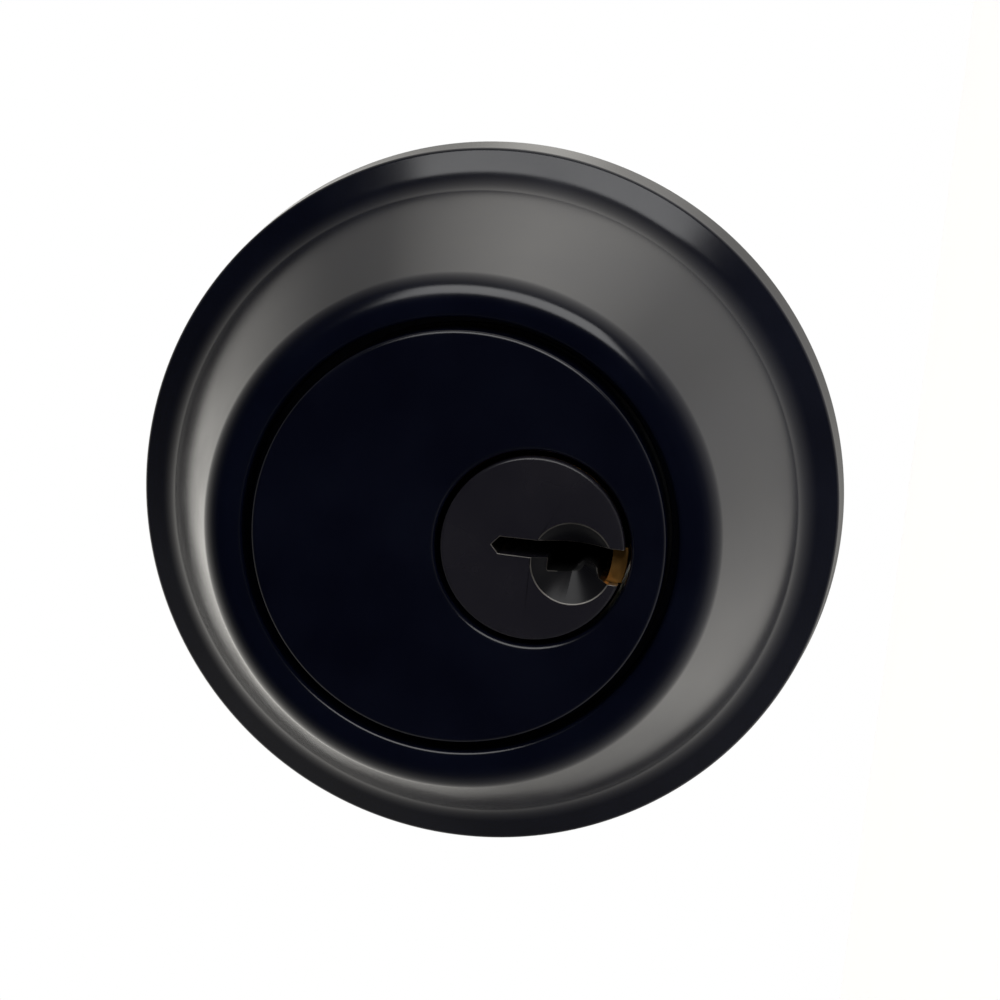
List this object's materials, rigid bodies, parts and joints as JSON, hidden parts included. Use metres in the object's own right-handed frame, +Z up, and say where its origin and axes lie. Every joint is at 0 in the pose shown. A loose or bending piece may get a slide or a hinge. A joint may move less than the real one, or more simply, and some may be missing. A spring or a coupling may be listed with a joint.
{
  "type": "deadbolt keyed exterior",
  "caption": "Round black keyed exterior unit of a deadbolt lock: tapered guard collar, flat disc, offset key plug and a flat tailpiece behind",
  "frame": {"origin": "on the lock's axis at the collar's back plane, which is the door's outer face", "axes": "+Z up; +Y runs into the door along the lock's axis, so the keyed face looks along -Y; +X is to the right of a person facing the keyed face"},
  "size_m": [0.062, 0.0796, 0.062],
  "materials": {
    "collar_black": "satin black powder coat",
    "disc_black": "matte black coat",
    "plug_black": "satin black plating",
    "brass": "machined",
    "pin_brass": "turned",
    "pin_nickel": "turned, nickel plated",
    "spring_steel": "drawn wire and strip",
    "hardened_steel": "hardened, oil black",
    "zinc_plate": "bright zinc plate"
  },
  "bodies": {
    "housing": {"cylinder_housing": "disc_black", "collar_wave_spring": "spring_steel", "collar_snap_ring": "spring_steel", "drill_pin_left": "hardened_steel", "drill_pin_right": "hardened_steel", "cylinder_shell": "brass", "chamber_cover": "brass", "retainer_plate": "zinc_plate", "retainer_screw_left": "zinc_plate", "retainer_screw_right": "zinc_plate", "mounting_post_left": "zinc_plate", "mounting_post_right": "zinc_plate", "pin_spring_1": "spring_steel", "pin_spring_2": "spring_steel", "pin_spring_3": "spring_steel", "pin_spring_4": "spring_steel", "pin_spring_5": "spring_steel"},
    "collar": {"guard_collar": "collar_black", "guard_ring": "hardened_steel"},
    "plug": {"key_plug": "plug_black", "plug_clip": "spring_steel", "tailpiece_cap": "brass"},
    "tailpiece": {"tailpiece": "zinc_plate"},
    "key_pin_1": {"key_pin_1": "pin_brass"},
    "key_pin_2": {"key_pin_2": "pin_brass"},
    "key_pin_3": {"key_pin_3": "pin_brass"},
    "key_pin_4": {"key_pin_4": "pin_brass"},
    "key_pin_5": {"key_pin_5": "pin_brass"},
    "driver_pin_1": {"driver_pin_1": "pin_nickel"},
    "driver_pin_2": {"driver_pin_2": "pin_nickel"},
    "driver_pin_3": {"driver_pin_3": "pin_nickel"},
    "driver_pin_4": {"driver_pin_4": "pin_nickel"},
    "driver_pin_5": {"driver_pin_5": "pin_nickel"}
  },
  "joints": [
    {"name": "collar_spin", "type": "hinge", "parent": "housing", "child": "collar", "pos_m": [0, 0, 0], "axis": [0, 1, 0], "continuous": true},
    {"name": "plug_turn", "type": "hinge", "parent": "housing", "child": "plug", "pos_m": [0, 0, -0.0062], "axis": [0, 1, 0], "continuous": true},
    {"name": "tailpiece_swing", "type": "hinge", "parent": "plug", "child": "tailpiece", "pos_m": [0, 0, -0.0062], "axis": [0, 1, 0], "range_deg": [-40, 40]},
    {"name": "key_pin_1_slide", "type": "slide", "parent": "plug", "child": "key_pin_1", "axis": [0, 0, 1], "range_m": [-0.0034, 0]},
    {"name": "key_pin_2_slide", "type": "slide", "parent": "plug", "child": "key_pin_2", "axis": [0, 0, 1], "range_m": [-0.002, 0]},
    {"name": "key_pin_3_slide", "type": "slide", "parent": "plug", "child": "key_pin_3", "axis": [0, 0, 1], "range_m": [-0.0028, 0]},
    {"name": "key_pin_4_slide", "type": "slide", "parent": "plug", "child": "key_pin_4", "axis": [0, 0, 1], "range_m": [-0.0012, 0]},
    {"name": "key_pin_5_slide", "type": "slide", "parent": "plug", "child": "key_pin_5", "axis": [0, 0, 1], "range_m": [-0.0024, 0]},
    {"name": "driver_pin_1_lift", "type": "slide", "parent": "housing", "child": "driver_pin_1", "axis": [0, 0, 1], "range_m": [0, 0.0026], "stiffness_N_per_m": 120, "springref_m": -0.003, "deforming": ["pin_spring_1"]},
    {"name": "driver_pin_2_lift", "type": "slide", "parent": "housing", "child": "driver_pin_2", "axis": [0, 0, 1], "range_m": [0, 0.0026], "stiffness_N_per_m": 120, "springref_m": -0.003, "deforming": ["pin_spring_2"]},
    {"name": "driver_pin_3_lift", "type": "slide", "parent": "housing", "child": "driver_pin_3", "axis": [0, 0, 1], "range_m": [0, 0.0026], "stiffness_N_per_m": 120, "springref_m": -0.003, "deforming": ["pin_spring_3"]},
    {"name": "driver_pin_4_lift", "type": "slide", "parent": "housing", "child": "driver_pin_4", "axis": [0, 0, 1], "range_m": [0, 0.0026], "stiffness_N_per_m": 120, "springref_m": -0.003, "deforming": ["pin_spring_4"]},
    {"name": "driver_pin_5_lift", "type": "slide", "parent": "housing", "child": "driver_pin_5", "axis": [0, 0, 1], "range_m": [0, 0.0026], "stiffness_N_per_m": 120, "springref_m": -0.003, "deforming": ["pin_spring_5"]}
  ]
}
